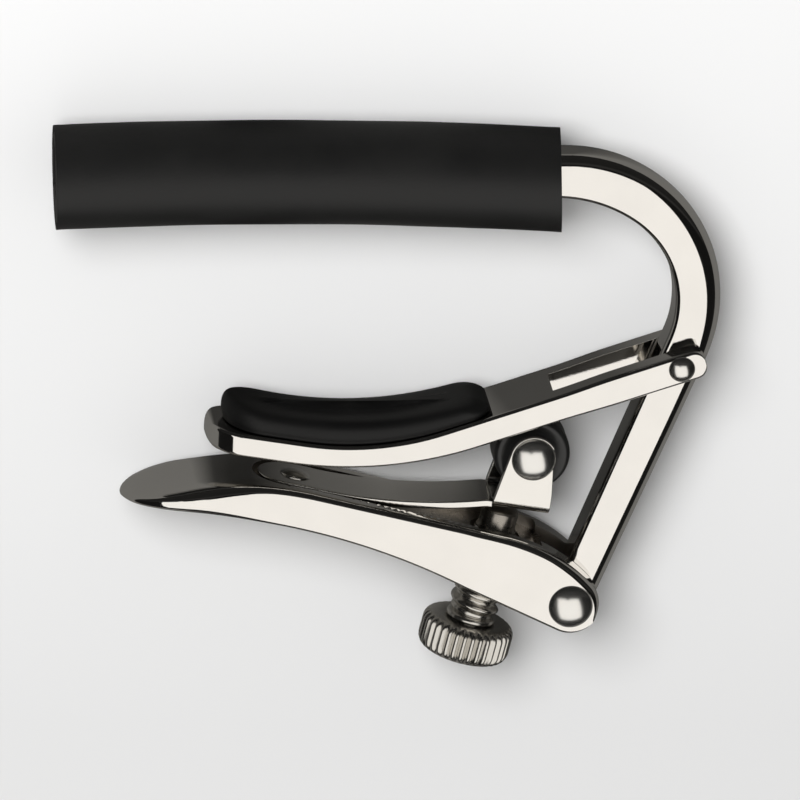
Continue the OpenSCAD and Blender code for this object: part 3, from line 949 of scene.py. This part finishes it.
# Painted shade and light: dark and pale patches across the table, as (x in mm from the capo's middle, tone)
painted_table_tones = ((-45, 1.0), (-23.8, 1.0), (-20.6, 0.25), (-15, 0.25), (-6, 1.2),
               (3, 1.5), (11, 1.0), (15, 0.4), (28, 0.4), (40, 1.0))
table_half = 50
across = nodes.new("ShaderNodeSeparateXYZ")
links.new(where.outputs["Object"], across.inputs[0])
share = ramp(nodes, links, across.outputs["X"], -table_half * MM, table_half * MM, 0, 1)
stops = [((x + table_half) / (2 * table_half), [c * tone for c in table_colour]) for x, tone in painted_table_tones]
tones = colour_stops(nodes, links, share, stops)
links.new(tones, shader.inputs["Base Color"])
# Painted light: the table glows with a share of its own tones, lifting its shade in the reflections
painted_glow = nodes.new("ShaderNodeMath")
painted_glow.operation = "MULTIPLY"
painted_glow.inputs[1].default_value = 0.065 / 0.088
links.new(tones, painted_glow.inputs[0])
links.new(painted_glow.outputs["Value"], shader.inputs["Emission Strength"])
table.data.materials.clear()
table.data.materials.append(table_material)
table.visible_camera = table.visible_diffuse = table.visible_shadow = False

lamp = bpy.data.lights.new("key", "AREA")
lamp.shape, lamp.size, lamp.energy = "DISK", 0.9, 21.5
key = bpy.data.objects.new("key", lamp)
bpy.context.scene.collection.objects.link(key)
key.location = target + Vector((-0.5, 0.6, 1.25))
key.rotation_euler = (key.location - target).to_track_quat("Z", "Y").to_euler()
key.visible_camera = key.visible_glossy = False

# The room: even to diffuse light, and in bands about the X axis to reflections
world = bpy.data.worlds.new("studio")
bpy.context.scene.world = world
world.use_nodes = True
nodes, links = world.node_tree.nodes, world.node_tree.links
nodes.clear()
where = nodes.new("ShaderNodeTexCoord")
split = nodes.new("ShaderNodeSeparateXYZ")
links.new(where.outputs["Generated"], split.inputs[0])
turn_angle = nodes.new("ShaderNodeMath")
turn_angle.operation = "ARCTAN2"
links.new(split.outputs["Y"], turn_angle.inputs[0])
links.new(split.outputs["Z"], turn_angle.inputs[1])
share = ramp(nodes, links, turn_angle.outputs[0], -math.pi, math.pi, 0, 1)
# (degrees from straight up towards +Y, brightness)
bands = [(-180, 0.16), (-125, 0.05), (-88, 0.012), (-60, 0.008), (20, 0.006), (30, 0.03),
         (42, 0.012), (95, 0.015), (120, 0.08), (150, 0.15), (180, 0.16)]
stops = [((angle + 180) / 360, (shade, shade * 0.98, shade * 0.94)) for angle, shade in bands]
shades = colour_stops(nodes, links, share, stops)
paths = nodes.new("ShaderNodeLightPath")
even = nodes.new("ShaderNodeBackground")
even.inputs["Color"].default_value = (1, 0.995, 0.985, 1)
even.inputs["Strength"].default_value = 0.42
banded = nodes.new("ShaderNodeBackground")
links.new(shades, banded.inputs["Color"])
choose = nodes.new("ShaderNodeMixShader")
links.new(paths.outputs["Is Glossy Ray"], choose.inputs[0])
links.new(even.outputs[0], choose.inputs[1])
links.new(banded.outputs[0], choose.inputs[2])
out = nodes.new("ShaderNodeOutputWorld")
links.new(choose.outputs[0], out.inputs[0])

bpy.context.scene.view_settings.view_transform = "Standard"
bpy.context.scene.view_settings.look = "None"
